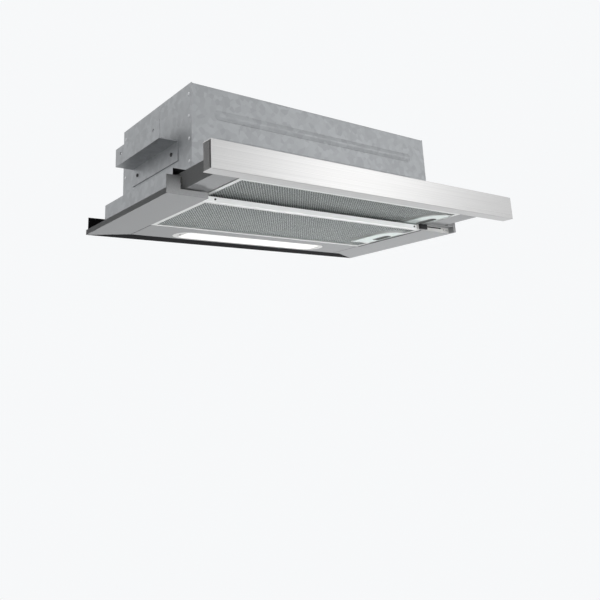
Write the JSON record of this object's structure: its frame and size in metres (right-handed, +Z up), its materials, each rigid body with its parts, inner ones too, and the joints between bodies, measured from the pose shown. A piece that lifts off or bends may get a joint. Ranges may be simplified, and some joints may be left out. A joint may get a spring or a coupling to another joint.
{
  "type": "built-in range hood",
  "caption": "Slim built-in range hood with a pull-out visor on ball slides, grease filters with sliding latches, a lit lamp, slide control, blower and duct collar.",
  "frame": {"origin": "centre of the hood's box on the plane of its underside, with the visor pulled out as in the picture", "axes": "+X across the hood to the right, +Y from the front bar to the wall, +Z up"},
  "size_m": [0.6, 0.4184, 0.215],
  "materials": {
    "stainless": "brushed stainless along the bar",
    "cap_grey": "fine moulded grain",
    "silver_paint": "satin silver-grey coating",
    "black_paint": "satin black coating",
    "filter_aluminium": "bright folded sheet",
    "filter_mesh": "expanded mesh layers",
    "latch_grey": "pale moulded plastic",
    "control_silver": "satin silver",
    "black_plastic": "fine moulded grain",
    "galvanised": "zinc coated sheet",
    "zinc_steel": "bright zinc",
    "bright_steel": "polished",
    "screw_steel": "dark zinc",
    "lens_white": "frosted diffuser",
    "bezel_silver": "satin ring",
    "white_paint": "white reflector",
    "white_plastic": "moulded",
    "duct_plastic": "black moulded",
    "motor_metal": "lacquered lamination stack and end bells",
    "capacitor_can": "drawn can"
  },
  "bodies": {
    "hood_body": {"bottom_pan": "silver_paint", "front_crossbar": "filter_aluminium", "crossbar_screws": "screw_steel", "lamp_panel": "silver_paint", "lamp_bezel": "bezel_silver", "lamp_lens": "lens_white", "lamp_tray": "white_paint", "lamp_board": "white_plastic", "rear_spacer": "black_paint", "control_plate": "control_silver", "speed_switch": "black_plastic", "lamp_switch": "black_plastic", "fixed_filter_frame": "filter_aluminium", "fixed_filter_mesh": "filter_mesh", "slide_outer_left": "zinc_steel", "slide_outer_right": "zinc_steel", "casing_wrap": "galvanised", "casing_side_left": "galvanised", "casing_side_right": "galvanised", "side_channel_left": "galvanised", "side_channel_right": "galvanised", "fixing_bracket_left": "galvanised", "fixing_bracket_right": "galvanised", "bracket_screws": "screw_steel", "duct_collar": "duct_plastic", "damper_pin": "bright_steel", "blower_scroll": "duct_plastic", "inlet_ring_left": "duct_plastic", "inlet_ring_right": "duct_plastic", "motor": "motor_metal", "motor_bracket": "galvanised", "capacitor": "capacitor_can", "terminal_box": "black_plastic", "terminal_lid": "black_plastic", "lamp_driver": "white_plastic", "cable_gland": "black_plastic"},
    "visor": {"visor_frame": "silver_paint", "visor_top": "silver_paint", "bar_facing": "stainless", "bar_backing": "zinc_steel", "bar_cap_left": "cap_grey", "bar_cap_right": "cap_grey", "bar_screws": "screw_steel", "slide_runner_left": "zinc_steel", "slide_runner_right": "zinc_steel", "visor_filter_frame": "filter_aluminium", "visor_filter_mesh": "filter_mesh"},
    "cage_left": {"slide_cage_left": "zinc_steel", "slide_balls_left": "bright_steel"},
    "cage_right": {"slide_cage_right": "zinc_steel", "slide_balls_right": "bright_steel"},
    "fixed_latch": {"fixed_filter_latch": "latch_grey"},
    "visor_latch": {"visor_filter_latch": "latch_grey"},
    "speed_knob": {"speed_knob": "black_plastic"},
    "lamp_button": {"lamp_button": "control_silver"},
    "wheel": {"blower_wheel": "duct_plastic", "blower_shaft": "bright_steel"},
    "flap_front": {"damper_flap_front": "duct_plastic"},
    "flap_rear": {"damper_flap_rear": "duct_plastic"}
  },
  "joints": [
    {"name": "visor_slide", "type": "slide", "parent": "hood_body", "child": "visor", "axis": [0, -1, 0], "range_m": [-0.102, 0.05]},
    {"name": "cage_left_slide", "type": "slide", "parent": "hood_body", "child": "cage_left", "axis": [0, -1, 0], "range_m": [-0.051, 0.025]},
    {"name": "cage_right_slide", "type": "slide", "parent": "hood_body", "child": "cage_right", "axis": [0, -1, 0], "range_m": [-0.051, 0.025]},
    {"name": "fixed_latch_slide", "type": "slide", "parent": "hood_body", "child": "fixed_latch", "axis": [-1, 0, 0], "range_m": [0, 0.004], "stiffness_N_per_m": 400},
    {"name": "visor_latch_slide", "type": "slide", "parent": "visor", "child": "visor_latch", "axis": [-1, 0, 0], "range_m": [0, 0.004], "stiffness_N_per_m": 400},
    {"name": "speed_knob_slide", "type": "slide", "parent": "hood_body", "child": "speed_knob", "axis": [1, 0, 0], "range_m": [0, 0.048]},
    {"name": "lamp_button_press", "type": "slide", "parent": "hood_body", "child": "lamp_button", "axis": [0, 1, 0], "range_m": [0, 0.0012], "stiffness_N_per_m": 500},
    {"name": "wheel_spin", "type": "hinge", "parent": "hood_body", "child": "wheel", "pos_m": [0, 0.0247, 0.111], "axis": [1, 0, 0], "continuous": true},
    {"name": "flap_front_hinge", "type": "hinge", "parent": "hood_body", "child": "flap_front", "pos_m": [0, 0.0637, 0.189], "axis": [-1, 0, 0], "range_deg": [0, 75]},
    {"name": "flap_rear_hinge", "type": "hinge", "parent": "hood_body", "child": "flap_rear", "pos_m": [0, 0.0637, 0.189], "axis": [1, 0, 0], "range_deg": [0, 75]}
  ],
  "couplings": [
    {"joint": "cage_left_slide", "follows": "visor_slide", "ratio": 0.5},
    {"joint": "cage_right_slide", "follows": "visor_slide", "ratio": 0.5}
  ]
}
